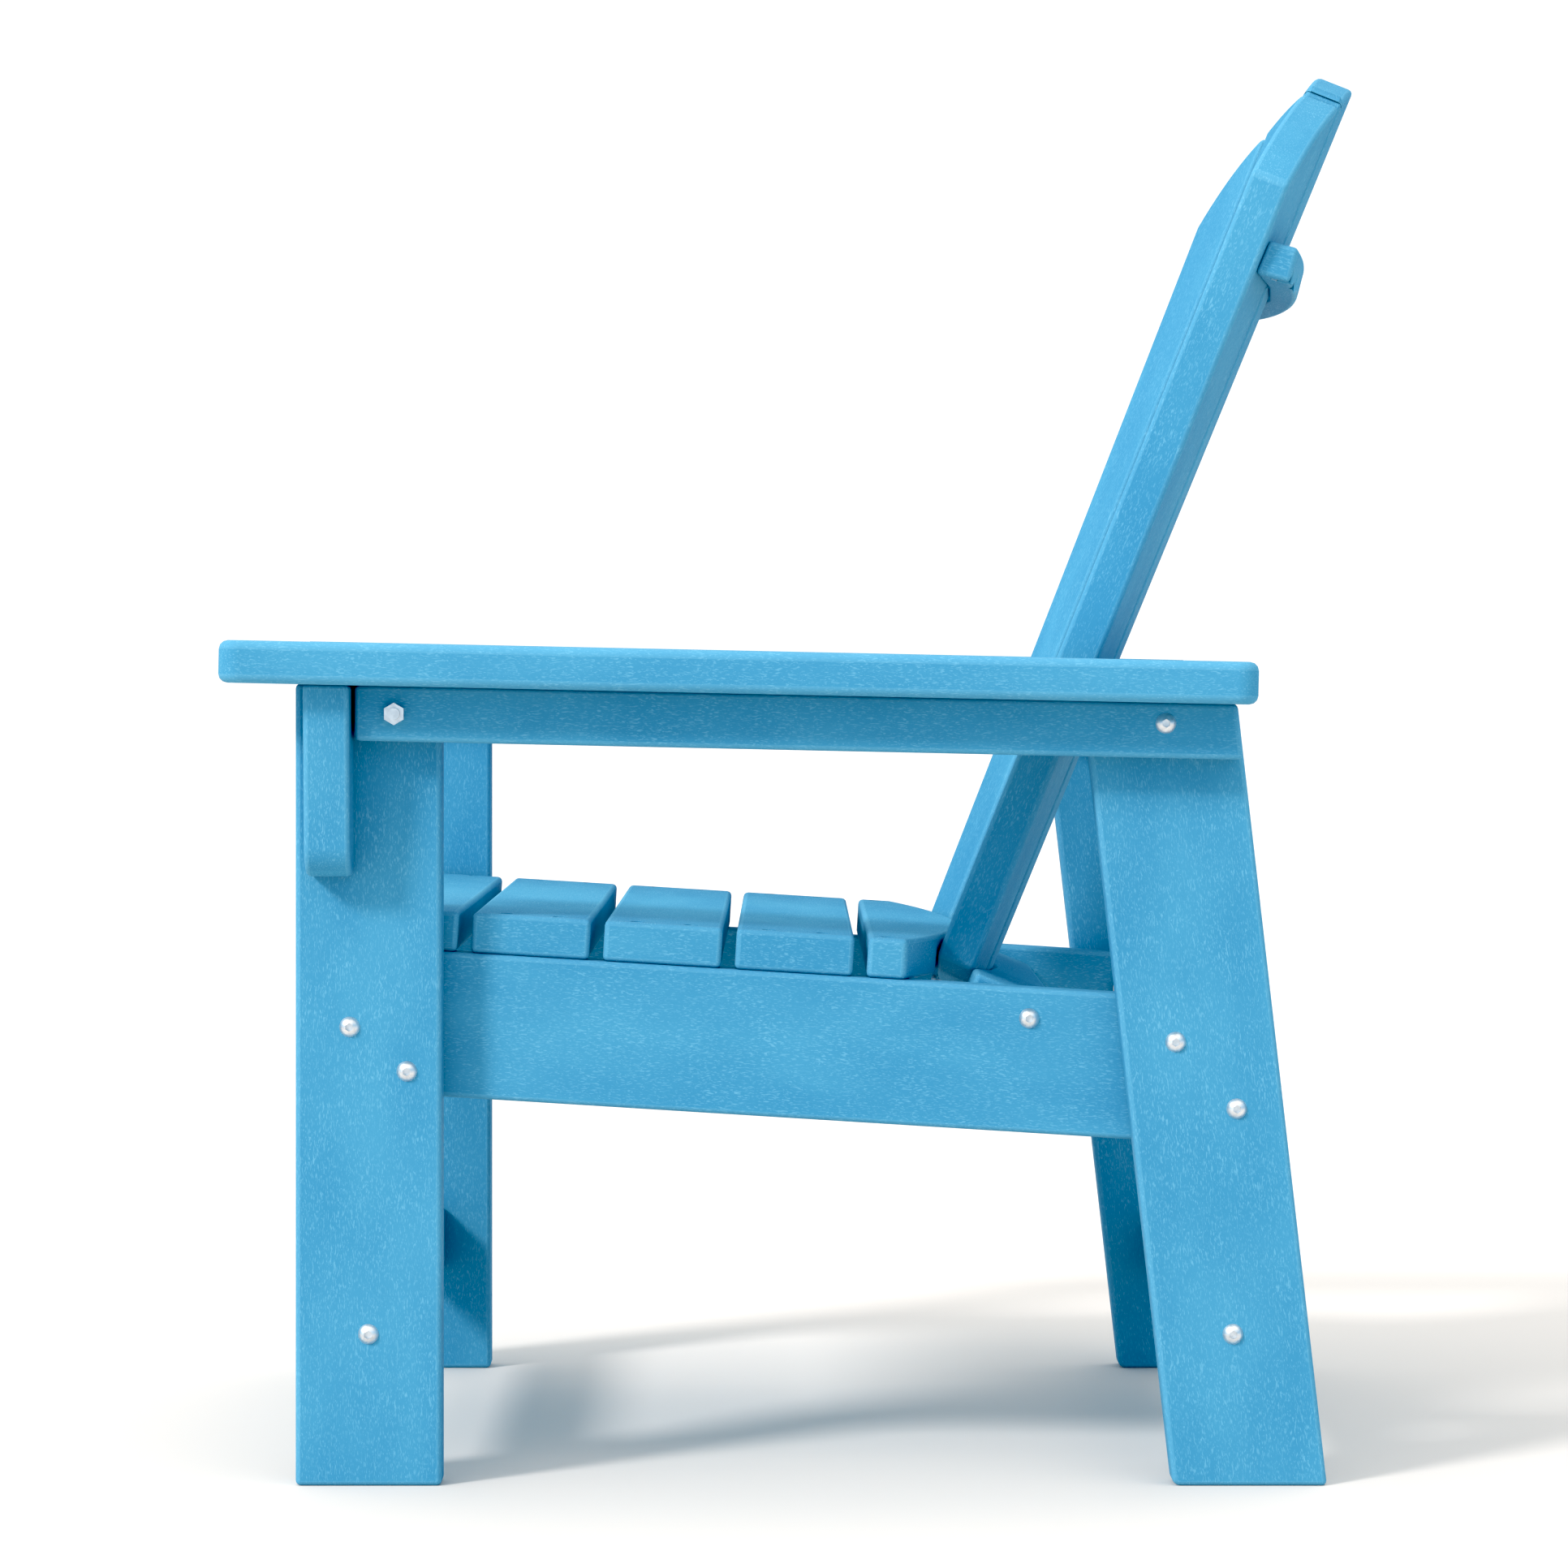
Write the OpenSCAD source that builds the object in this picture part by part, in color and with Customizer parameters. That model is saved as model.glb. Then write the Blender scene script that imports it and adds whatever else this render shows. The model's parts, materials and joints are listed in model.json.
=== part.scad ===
// Adirondack chair of poly lumber boards, bolted and screwed together.
// X runs across the chair, the sitter faces -Y, Z is up and the feet stand on Z = 0.

/* [Overall] */
// Width over the outer faces of the legs
frame_w = 580; // [480:5:700]
// Depth from the front edge of the front legs to the heel of the rear legs
frame_d = 699.5; // [580:0.5:840]
// Height of the arms' top face at the front edge of the front legs
arm_h = 572.5; // [475:0.5:690]
// Height of the highest point of the back
back_h = 985.5; // [820:1:1180]

/* [Boards] */
// Thickness of every board except the upper back rail
board_t = 28; // [22:0.5:34]

/* [Legs] */
// Width of a front leg
leg_w = 99; // [82:1:119]
// Width of a rear leg, square to its edges
rear_leg_w = 104; // [86:1:125]
// Lean of the rear legs from the vertical
rear_lean = 6.52; // [3:0.1:10]
// Radius on the front bottom corner of a rear leg
heel_r = 6; // [3:0.5:10]

/* [Seat] */
// Height of the seat rails' top edge at the front edge of the front legs
seat_rail_h = 366.5; // [305:0.5:440]
// Fall of the seat towards the back
seat_drop = 3.55; // [0:0.05:6]
// Width of a seat rail
seat_rail_w = 99; // [82:1:119]
// Setback of the seat rails' front ends behind the front edge of the legs
seat_rail_front = 9; // [4:1:20]
// Setback of the seat rails' rear ends inside the rear edge of the rear legs
seat_rail_rear = 8; // [4:1:20]
// Gap between neighbouring seat slats
seat_gap = 9.5; // [6:0.5:14]
// Distance of the first seat slat behind the front edge of the legs
seat_front = 26.5; // [12:0.5:40]
// Depth of the rear seat slat at its ends
rear_slat_d = 26.4; // [24:0.2:40]
// Radius of the rear seat slat's curved rear edge
rear_slat_r = 800; // [700:1:1000]
// Gap between the rear seat slat's top edge and the middle back slat
seat_back_gap = 9; // [6:0.5:14]
// Least gap between the rear seat slat and the back slats
seat_back_clear = 2; // [1.5:0.5:5]
// Gap between a slat's ends and the legs
slat_end_gap = 4; // [2:0.5:8]

/* [Back] */
// Recline of the back from the vertical
recline = 22.3; // [18:0.1:27]
// Angle between neighbouring back slats, seen from above
fan_step = 6.32; // [5:0.02:7]
// Gap between the back and each arm
back_side_gap = 25; // [12:0.5:40]
// Gap between neighbouring back slats
back_gap = 9; // [6:0.5:14]
// Angle of the top outline that its wide crown takes on each side
crown_angle = 22; // [16:0.5:28]
// Angle that the top outline would reach at the back's full width
shoulder_angle = 66; // [60:1:75]
// Radius of the top outline over the shoulders
shoulder_r = 190; // [160:5:220]
// Length of the back slats below the lower back rail
back_tail = 16; // [8:1:24]

/* [Back rails] */
// Depth of the lower back rail at its ends
lower_rail_d = 64; // [54:1:77]
// Height of the lower back rail's front corners above the seat rails' top edge
lower_rail_rise = 6.5; // [0:0.5:10]
// Setback of the lower back rail's front corners behind the slats' front faces
lower_rail_set = 7; // [2:0.5:12]
// Setback of the middle back rail's edges inside the edges of the rear legs
mid_rail_inset = 4; // [1:0.5:8]
// Thickness of the upper back rail
upper_rail_t = 24.5; // [20:0.5:29]
// Depth of the upper back rail at its ends
upper_rail_end_d = 21.6; // [18:0.2:26]
// Depth of the upper back rail at its middle
upper_rail_mid_d = 17; // [15:0.2:22]
// Setback of the upper back rail's ends inside the back's outer edges
upper_rail_inset = 2; // [0:0.5:8]
// Tilt of the upper back rail towards the back
upper_rail_tilt = 15; // [8:0.5:20]
// Distance of the upper back rail's top under the highest point of the back
upper_rail_drop = 142; // [120:1:170]

/* [Arms] */
// Thickness of an arm
arm_t = 28.5; // [22:0.5:34]
// Width of an arm
arm_w = 140; // [116:1:168]
// Overhang of an arm outside the legs
arm_side = 65; // [55:1:78]
// Overhang of an arm in front of the front legs
arm_front = 46.5; // [38:0.5:56]
// Overhang of an arm behind the rear leg, measured at its underside
arm_rear = 9; // [6:0.5:16]
// Fall of the arms towards the back
arm_drop = 1.23; // [0:0.01:3]
// Radius of an arm's corners, seen from above
arm_corner_r = 15; // [8:1:24]

/* [Arm rails and brackets] */
// Height of an arm rail
arm_rail_h = 37.5; // [32:0.5:45]
// Setback of an arm rail's rear end inside the rear edge of the rear leg
arm_rail_rear = 3; // [1:0.5:8]
// Gap between an arm bracket and the arm rail
bracket_gap = 2.5; // [1:0.5:5]
// Thickness of an arm bracket
bracket_t = 31; // [26:0.5:37]
// Setback of an arm bracket behind the front edge of the front leg
bracket_front = 9; // [4:0.5:12]
// Length of an arm bracket down the leg
bracket_l = 130; // [110:1:156]
// Reach of an arm bracket under the arm
bracket_reach = 44; // [37:0.5:53]
// Reach of an arm bracket where its lower corner starts to round
bracket_toe = 34; // [28:0.5:36]
// Radius of an arm bracket's lower corner
bracket_r = 22; // [16:1:26]

/* [Stretchers] */
// Height of the stretchers between the legs
stretcher_h = 50; // [42:1:60]
// Height of the stretchers' middle above the floor
stretcher_z = 103; // [86:1:124]

/* [Bolts and nuts] */
// Diameter of the bolts
bolt_d = 8; // [6:1:8]
// Diameter of a bolt's domed head
bolt_head_d = 14; // [12:0.5:16]
// Height of a bolt's domed head
bolt_head_h = 4.4; // [3:0.1:5]
// Width across flats of a bolt's socket
bolt_socket = 5; // [4:0.5:6]
// Clearance of a bolt in its hole, on the diameter
bolt_clear = 0.6; // [0.2:0.1:1]
// Clearance between a bolt and the bore of a nut or washer, on the diameter
nut_clear = 0.1; // [0.05:0.05:0.3]
// Width across flats of a hex nut
nut_af = 13; // [10:1:14]
// Height of a hex nut
nut_h = 6.5; // [5:0.5:8]
// Diameter of a washer
washer_d = 17; // [14:0.5:20]
// Thickness of a washer
washer_t = 1.6; // [1:0.1:2]
// Length of bolt that stands out of its nut
bolt_tip = 1.5; // [1:0.5:4]
// Diameter of a barrel nut
barrel_d = 12; // [11:0.5:14]
// Length of a barrel nut
barrel_l = 22; // [18:1:22]
// Distance of a barrel nut from the end of its board
barrel_in = 38; // [30:1:46]
// Clearance of a barrel nut in its hole, on the diameter
barrel_clear = 0.4; // [0.2:0.1:0.8]

/* [Bolt places] */
// Distance of the first front leg bolt behind the leg's front edge
front_bolt_1_y = 36.8; // [30:0.2:44]
// Distance of the first front leg bolt under the seat rail's top edge
front_bolt_1_z = 53; // [44:1:60]
// Distance of the second front leg bolt behind the leg's front edge
front_bolt_2_y = 75.6; // [64:0.2:78]
// Distance of the second front leg bolt above the seat rail's bottom edge
front_bolt_2_z = 18.5; // [14:0.5:22]
// Distance of the first rear leg bolt in front of the leg's rear edge
rear_bolt_1_y = 68.5; // [57:0.5:74]
// Distance of the first rear leg bolt under the seat rail's top edge
rear_bolt_1_z = 28.5; // [24:0.5:34]
// Distance of the second rear leg bolt in front of the leg's rear edge
rear_bolt_2_y = 32.3; // [27:0.2:39]
// Distance of the second rear leg bolt above the seat rail's bottom edge
rear_bolt_2_z = 28; // [24:0.5:34]
// Distance of the front arm rail bolt behind the leg's front edge
arm_bolt_y = 69.5; // [60:0.5:78]
// Distance of the lower back rail's bolts in front of its rear edge
lower_bolt_in = 21; // [18:0.5:25]

/* [Screws] */
// Diameter of the wood screws
screw_d = 4.8; // [4:0.2:5.6]
// Diameter of a screw's head
screw_head_d = 9; // [8:0.2:10]
// Height of a screw's head
screw_head_h = 3.2; // [2.4:0.2:4]
// Width of a screw's square socket
screw_socket = 2.6; // [2:0.2:3]
// Depth of a screw's grip in the board that holds it
screw_grip = 20; // [16:1:20]
// Depth of a screw's head under the surface
screw_sink = 1; // [0.6:0.2:2]
// Clearance around a screw's head, on the diameter
screw_clear = 1; // [0.4:0.2:1.6]
// Distance of the seat screws from a slat's long edges
seat_screw_edge = 22; // [14:1:24]
// Distance of the back screws from a slat's edges
back_screw_edge = 15; // [12:0.5:18]
// Distance of the upper rail's screws from a slat's edges
upper_screw_edge = 24; // [20:1:28]
// Thickness of the upper back rail under its screws' heads
upper_screw_web = 10; // [8:0.5:11]
// Thickness of an arm rail under its screws' heads
arm_screw_web = 20; // [16:1:24]
// Distance of the bracket screws from the bracket's top and from its rounded corner
bracket_screw_in = 30; // [24:1:36]
// Spacing of the two screws that hold each arm to the middle back rail
arm_pair = 44; // [36:1:52]

/* [Hidden] */
$fn = 64;
POLY = "#4eaad8";
STEEL = "silver";
eps = 0.02;
fine = 360; // steps of a large circle
far = 400; // longer than any cut has to be
SIDES = [1, -1];
SLATS = [-2, -1, 0, 1, 2];
rear_slat = 5;

// Places across the chair, for the side of the sitter's left hand
x_leg_out = frame_w / 2;
x_leg_in = x_leg_out - board_t;
x_rail_in = x_leg_in - board_t;
x_rail_mid = x_leg_in - board_t / 2;
x_arm_rail_mid = x_leg_out + board_t / 2;
x_arm_rail_out = x_leg_out + board_t;
x_arm_out = x_leg_out + arm_side;
x_arm_in = x_arm_out - arm_w;

// Heights at a distance y behind the front edge of the front legs
arm_fall = tan(arm_drop);
seat_fall = tan(seat_drop);
leg_lean = tan(rear_lean);
arm_under_0 = arm_h - arm_t / cos(arm_drop);
seat_bottom_0 = seat_rail_h - seat_rail_w / cos(seat_drop);
arm_rail_bottom_0 = arm_under_0 - arm_rail_h / cos(arm_drop);
function arm_under(y) = arm_under_0 - y * arm_fall;
function seat_top(y) = seat_rail_h - y * seat_fall;
function seat_bottom(y) = seat_bottom_0 - y * seat_fall;
function arm_rail_bottom(y) = arm_rail_bottom_0 - y * arm_fall;

// Edges of a rear leg at height z, and where a line that leans as the leg does meets a sloping line
rear_leg_d = rear_leg_w / cos(rear_lean);
function rear_edge(z) = frame_d - z * leg_lean;
function lean_meets(y0, z0, fall) = (y0 - z0 * leg_lean) / (1 - fall * leg_lean);

// The middle back slat's front face meets the arms' underside at the rear legs' front edges.
// v runs up the slats from there and w runs backwards, square to them.
back_y = lean_meets(frame_d - rear_leg_d, arm_under_0, arm_fall);
back_z = arm_under(back_y);
back_top = (back_h - back_z) / cos(recline);
function back_front(z) = back_y + (z - back_z) * tan(recline);
function on_back_y(v, w) = back_y + v * sin(recline) + w * cos(recline);
function on_back_z(v, w) = back_z + v * cos(recline) - w * sin(recline);

// The slats stand like staves on an upright cone: each is the middle one turned about its axis
outer_turn = 2 * fan_step;
outer_share = sin(outer_turn) + sin(fan_step / 2) * cos(outer_turn);
arm_top_radius = (x_arm_in - back_side_gap + back_gap / 2 * cos(outer_turn)) / outer_share;
axis_y = back_front(back_z + arm_t) - arm_top_radius;
cone_tip = (back_y - axis_y) / sin(recline);
fan_in_plane = fan_step * sin(recline);
function front_radius(z) = back_front(z) - axis_y;
function slat_half(v) = (cone_tip + v) * sin(recline) * sin(fan_step / 2) - back_gap / 2;
function stave_half(v) =
    ((cone_tip + v) * sin(recline) + board_t * cos(recline)) * tan(fan_step / 2) + eps;
function outer_edge(z) = front_radius(z) * outer_share - back_gap / 2 * cos(outer_turn);

// Top outline of the back: a wide crown with tighter shoulders
top_half = (cone_tip + back_top) * sin(2.5 * fan_in_plane) - back_gap / 2;
shoulder_u = top_half - shoulder_r * sin(shoulder_angle);
crown_r = shoulder_r + shoulder_u / sin(crown_angle);
crown_v = back_top - crown_r;
shoulder_v = crown_v + (crown_r - shoulder_r) * cos(crown_angle);

// Lower back rail, square to the slats
lower_top = (seat_rail_h + lower_rail_rise - back_z + lower_rail_set * sin(recline)
    - seat_fall * (back_y + lower_rail_set * cos(recline)))
    / (cos(recline) + seat_fall * sin(recline));
lower_mid = lower_top - board_t / 2;
lower_bolt_w = lower_rail_set + lower_rail_d - lower_bolt_in;
slat_foot = lower_top - board_t - back_tail;

// Middle back rail, under the arms and between the rear legs
mid_rail_front = back_y + board_t * leg_lean + mid_rail_inset;
mid_rail_rear = back_y + rear_leg_d - mid_rail_inset;
mid_rail_mid = (mid_rail_front + mid_rail_rear) / 2;

// Upper back rail, tilted about the top edge where it meets the middle slat
upper_z = back_h - upper_rail_drop;
upper_y = back_front(upper_z) + board_t / cos(recline);
upper_radius = upper_y - axis_y;
upper_half = outer_edge(upper_z) - upper_rail_inset;
tilt_share = tan(recline) * tan(upper_rail_tilt);
end_radius = (upper_radius * (1 + tilt_share) - upper_half * sin(outer_turn))
    / (cos(outer_turn) + tilt_share);
upper_end_front = (upper_radius - end_radius) / cos(upper_rail_tilt);
upper_sag = upper_rail_mid_d + upper_end_front - upper_rail_end_d;
upper_arc_r = (upper_half ^ 2 + upper_sag ^ 2) / (2 * upper_sag);

// Seat slats, at distances s along the seat rails' top edges
seat_slat_half = x_leg_in - slat_end_gap;
rear_slat_sag = rear_slat_r - sqrt(rear_slat_r ^ 2 - seat_slat_half ^ 2);
rear_slat_z = seat_top(back_front(seat_rail_h)) + board_t;
rear_slat_end = (back_front(rear_slat_z) - seat_back_gap) / cos(seat_drop);
rear_slat_front = rear_slat_end - rear_slat_sag - rear_slat_d;
slat_pitch = (rear_slat_front - seat_front) / (rear_slat - 1);
function slat_front(i) = seat_front + (i - 1) * slat_pitch;

// Rear stretcher, square to the rear legs
rear_stretcher_y = rear_edge(stretcher_z) - rear_leg_d / 2;

// Bolt places, as [y, z]
front_bolt_1 = [front_bolt_1_y, seat_top(front_bolt_1_y) - front_bolt_1_z];
front_bolt_2 = [front_bolt_2_y, seat_bottom(front_bolt_2_y) + front_bolt_2_z];
rear_bolt_1_at = lean_meets(frame_d - rear_bolt_1_y, seat_rail_h - rear_bolt_1_z, seat_fall);
rear_bolt_1 = [rear_bolt_1_at, seat_top(rear_bolt_1_at) - rear_bolt_1_z];
rear_bolt_2_at = lean_meets(frame_d - rear_bolt_2_y, seat_bottom_0 + rear_bolt_2_z, seat_fall);
rear_bolt_2 = [rear_bolt_2_at, seat_bottom(rear_bolt_2_at) + rear_bolt_2_z];
front_stretcher_bolt = [leg_w / 2, stretcher_z];
rear_stretcher_bolt = [rear_stretcher_y, stretcher_z];
lower_rail_bolt = [on_back_y(lower_mid, lower_bolt_w), on_back_z(lower_mid, lower_bolt_w)];
arm_front_bolt = [arm_bolt_y, arm_under(arm_bolt_y) - arm_rail_h / 2];
arm_rear_bolt = [mid_rail_mid, arm_under(mid_rail_mid) - board_t / 2];
leg_bolt_places = [front_bolt_1, front_bolt_2, rear_bolt_1, rear_bolt_2];
stretcher_bolt_places = [front_stretcher_bolt, rear_stretcher_bolt];

// Bolt lengths, without the head
nut_stack = nut_h + bolt_tip;
leg_bolt_l = 2 * board_t + washer_t + nut_stack;
arm_front_bolt_l = 2 * board_t + nut_stack;
barrel_bolt_l = barrel_in + barrel_d / 2 + bolt_tip;

// Screw places
mid_screw_v = ((board_t + screw_grip / 2) * sin(recline) - board_t / 2) / cos(recline);
upper_mid = [upper_y - upper_rail_t / 2 * sin(upper_rail_tilt), upper_z - upper_rail_t / 2];
upper_screw_v = (upper_mid[0] - back_y) * sin(recline) + (upper_mid[1] - back_z) * cos(recline);
screw_bury = screw_sink + screw_head_h;
arm_screw_y = [for (i = [1:3]) arm_bolt_y + (mid_rail_mid - arm_bolt_y) * (i - 0.5) / 3];
bracket_z = arm_under(bracket_front) - bracket_l;
bracket_mid = bracket_front + bracket_t / 2;
bracket_screw_z = [bracket_z + bracket_screw_in, arm_under(bracket_mid) - bracket_screw_in];

// The origin is under the middle of the chair
chair_front = -arm_front * cos(arm_drop) - arm_t * sin(arm_drop);
chair_back = on_back_y(back_top, board_t);
chair_mid = (chair_front + chair_back) / 2;

// ---- Frames: where the boards are drawn ----

// Moves a part from the front legs' edge to the chair's own origin
module in_chair() {
    translate([0, -chair_mid, 0])
    children();
}

// The sitter's left-hand half for 1, mirrored to the right-hand half for -1
module on_side(side) {
    in_chair()
    mirror([side > 0 ? 0 : 1, 0, 0])
    children();
}

// A board that stands along the chair, drawn as [y, z] and t thick from x
module side_board(x, t) {
    translate([x, 0, 0])
    rotate([90, 0, 90])
    linear_extrude(t)
    children();
}

// The slope of the arms: z is 0 on their underside
module arm_slope() {
    translate([0, 0, arm_under_0])
    rotate([-arm_drop, 0, 0])
    children();
}

// The slope of the seat: z is 0 on the seat rails' top edges
module seat_slope() {
    translate([0, 0, seat_rail_h])
    rotate([-seat_drop, 0, 0])
    children();
}

// The front face of back slat k: x across, y up the slat, z towards the sitter
module on_slat(k) {
    translate([0, axis_y, 0])
    rotate([0, 0, -k * fan_step])
    translate([0, back_y - axis_y, back_z])
    rotate([90 - recline, 0, 0])
    children();
}

// The tilt of the upper back rail: z is 0 on its top face, y is 0 at the middle slat
module upper_slope() {
    translate([0, upper_y, upper_z])
    rotate([-upper_rail_tilt, 0, 0])
    children();
}

// ---- Cuts and fasteners ----

// The sliver outside a radius r on corner p, whose edges run towards q and s
module corner_sliver(p, q, s, r) {
    to_q = (q - p) / norm(q - p);
    to_s = (s - p) / norm(s - p);
    half = acos(to_q * to_s) / 2;
    middle = (to_q + to_s) / norm(to_q + to_s);
    flat = r / tan(half);
    difference() {
        polygon([p, p + to_q * flat, p + to_s * flat]);
        translate(p + middle * r / sin(half))
        circle(r);
    }
}

// A rod across the chair from x, at place [y, z], l long towards the middle
module cross_rod(x, place, d, l) {
    translate([x, place[0], place[1]])
    rotate([0, -90, 0])
    cylinder(d = d, h = l);
}

module bolt_hole(x, place, l) {
    cross_rod(x + eps, place, bolt_d + bolt_clear, l + 2 * eps);
}

// A button-head bolt along -Z with its head on z = 0
module bolt(l) {
    dome_r = (bolt_head_d ^ 2 / 4 + bolt_head_h ^ 2) / (2 * bolt_head_h);
    color(STEEL)
    difference() {
        union() {
            intersection() {
                cylinder(d = bolt_head_d, h = bolt_head_h);
                translate([0, 0, bolt_head_h - dome_r])
                sphere(dome_r, $fn = 96);
            }
            translate([0, 0, -l])
            cylinder(d = bolt_d, h = l + bolt_head_h / 4);
        }
        translate([0, 0, bolt_head_h / 3])
        cylinder(d = bolt_socket / cos(30), h = bolt_head_h, $fn = 6);
    }
}

// A bolt whose head sits on the face at x and whose shank runs towards the middle
module cross_bolt(x, place, l) {
    translate([x, place[0], place[1]])
    rotate([0, 90, 0])
    bolt(l);
}

// A hex nut from x towards the middle
module cross_nut(x, place) {
    color(STEEL)
    translate([x - nut_h, place[0], place[1]])
    rotate([0, 90, 0])
    difference() {
        cylinder(d = nut_af / cos(30), h = nut_h, $fn = 6);
        translate([0, 0, -eps])
        cylinder(d = bolt_d + nut_clear, h = nut_h + 2 * eps);
    }
}

module cross_washer(x, place) {
    color(STEEL)
    difference() {
        cross_rod(x, place, washer_d, washer_t);
        cross_rod(x + eps, place, bolt_d + nut_clear, washer_t + 2 * eps);
    }
}

// A barrel nut along Z around the origin, with its thread along X
module barrel_nut() {
    color(STEEL)
    difference() {
        translate([0, 0, -barrel_l / 2])
        cylinder(d = barrel_d, h = barrel_l);
        translate([-barrel_d, 0, 0])
        rotate([0, 90, 0])
        cylinder(d = bolt_d + nut_clear, h = 2 * barrel_d);
    }
}

// The hole for a barrel nut, open at -Z
module barrel_hole() {
    translate([0, 0, -board_t])
    cylinder(d = barrel_d + barrel_clear, h = board_t + barrel_l / 2 + barrel_clear);
}

// Puts a barrel nut or its hole at the end of a board that ends at x
module barrel_at(x, place, turn) {
    translate([x - barrel_in, place[0], place[1]])
    rotate([turn, 0, 0])
    children();
}

// A wood screw along -Z with the top of its head on z = 0
module screw(l) {
    tip = screw_d;
    color(STEEL)
    difference() {
        union() {
            translate([0, 0, -screw_head_h])
            cylinder(d = screw_head_d, h = screw_head_h);
            translate([0, 0, tip - l])
            cylinder(d = screw_d, h = l - tip - screw_head_h / 2);
            translate([0, 0, -l])
            cylinder(d1 = screw_d / 3, d2 = screw_d, h = tip);
        }
        translate([-screw_socket / 2, -screw_socket / 2, -screw_head_h / 2])
        cube([screw_socket, screw_socket, screw_head_h]);
    }
}

// The hole for a screw whose head's top is on z = 0, open above it and l deep
module screw_hole(l) {
    translate([0, 0, -screw_head_h])
    cylinder(d = screw_head_d + screw_clear, h = far);
    translate([0, 0, -l])
    cylinder(d = screw_d, h = l);
}

// ---- Screw patterns: each places its children at every screw of one kind ----

module seat_screw_places(i) {
    depths = i == rear_slat
        ? [slat_front(i) + rear_slat_d / 2]
        : [slat_front(i) + seat_screw_edge, slat_front(i) + slat_pitch - seat_gap - seat_screw_edge];
    in_chair()
    seat_slope()
    for (side = SIDES, s = depths)
        translate([side * x_rail_mid, s, board_t - screw_sink])
        children();
}

// Two screws in slat k at height v, driven from the front
module slat_screw_places(k, v) {
    in_chair()
    on_slat(k)
    for (side = SIDES)
        translate([side * (slat_half(v) - back_screw_edge), v, -screw_sink])
        children();
}

// Two screws in slat k through the upper back rail, driven from behind
module upper_screw_places(k) {
    in_chair()
    on_slat(k)
    for (side = SIDES)
        translate([side * (slat_half(upper_screw_v) - upper_screw_edge), upper_screw_v, 0])
        translate([0, 0, -board_t - upper_screw_web - screw_head_h])
        rotate([180, 0, 0])
        children();
}

// Screws up through an arm rail into the arm
module arm_rail_screw_places() {
    arm_slope()
    for (y = arm_screw_y)
        translate([x_arm_rail_mid, y, -arm_screw_web - screw_head_h])
        rotate([180, 0, 0])
        children();
}

// Screws up through the end of the middle back rail into the arm
module mid_rail_arm_screw_places() {
    x = (x_arm_in + x_leg_in) / 2;
    arm_slope()
    for (step = [-0.5, 0.5])
        translate([x, mid_rail_mid + step * arm_pair, screw_sink - board_t])
        rotate([180, 0, 0])
        children();
}

// Screws out through the front leg into the bracket
module bracket_screw_places() {
    for (z = bracket_screw_z)
        translate([x_leg_in + screw_sink, bracket_mid, z])
        rotate([0, -90, 0])
        children();
}

seat_screw_l = board_t - screw_sink + screw_grip;
back_screw_l = board_t - screw_sink + screw_grip;
upper_screw_l = upper_screw_web + screw_head_h + screw_grip;
arm_screw_l = arm_screw_web + screw_head_h + screw_grip;

// ---- Legs and seat frame ----

module front_leg(side) {
    color(POLY)
    on_side(side)
    difference() {
        side_board(x_leg_in, board_t)
        polygon([[0, 0], [leg_w, 0], [leg_w, arm_under(leg_w)], [0, arm_under(0)]]);
        for (place = [front_bolt_1, front_bolt_2, front_stretcher_bolt, arm_front_bolt])
            bolt_hole(x_leg_out, place, board_t);
        bracket_screw_places()
        screw_hole(board_t + screw_grip);
    }
}

module rear_leg(side) {
    foot_front = frame_d - rear_leg_d;
    top_rear = lean_meets(frame_d, arm_under_0, arm_fall);
    foot = [foot_front, 0];
    heel = [frame_d, 0];
    top = [back_y, back_z];
    color(POLY)
    on_side(side)
    difference() {
        side_board(x_leg_in, board_t)
        difference() {
            polygon([foot, heel, [top_rear, arm_under(top_rear)], top]);
            corner_sliver(foot, heel, top, heel_r);
        }
        for (place = [rear_bolt_1, rear_bolt_2, rear_stretcher_bolt, arm_rear_bolt])
            bolt_hole(x_leg_out, place, board_t);
    }
}

module seat_rail(side) {
    rear_floor = frame_d - seat_rail_rear;
    rear_top = lean_meets(rear_floor, seat_rail_h, seat_fall);
    rear_bottom = lean_meets(rear_floor, seat_bottom_0, seat_fall);
    difference() {
        color(POLY)
        on_side(side)
        difference() {
            side_board(x_rail_in, board_t)
            polygon([
                [seat_rail_front, seat_bottom(seat_rail_front)],
                [rear_bottom, seat_bottom(rear_bottom)],
                [rear_top, seat_top(rear_top)],
                [seat_rail_front, seat_top(seat_rail_front)]
            ]);
            for (place = concat(leg_bolt_places, [lower_rail_bolt]))
                bolt_hole(x_leg_in, place, board_t);
        }
        for (i = [1:rear_slat])
            seat_screw_places(i)
            screw_hole(seat_screw_l);
    }
}

module front_stretcher() {
    color(POLY)
    in_chair()
    difference() {
        translate([-x_leg_in, (leg_w - board_t) / 2, stretcher_z - stretcher_h / 2])
        cube([2 * x_leg_in, board_t, stretcher_h]);
        for (side = SIDES)
            mirror([side > 0 ? 0 : 1, 0, 0])
            union() {
                bolt_hole(x_leg_in, front_stretcher_bolt, barrel_bolt_l);
                barrel_at(x_leg_in, front_stretcher_bolt, 90)
                barrel_hole();
            }
    }
}

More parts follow.
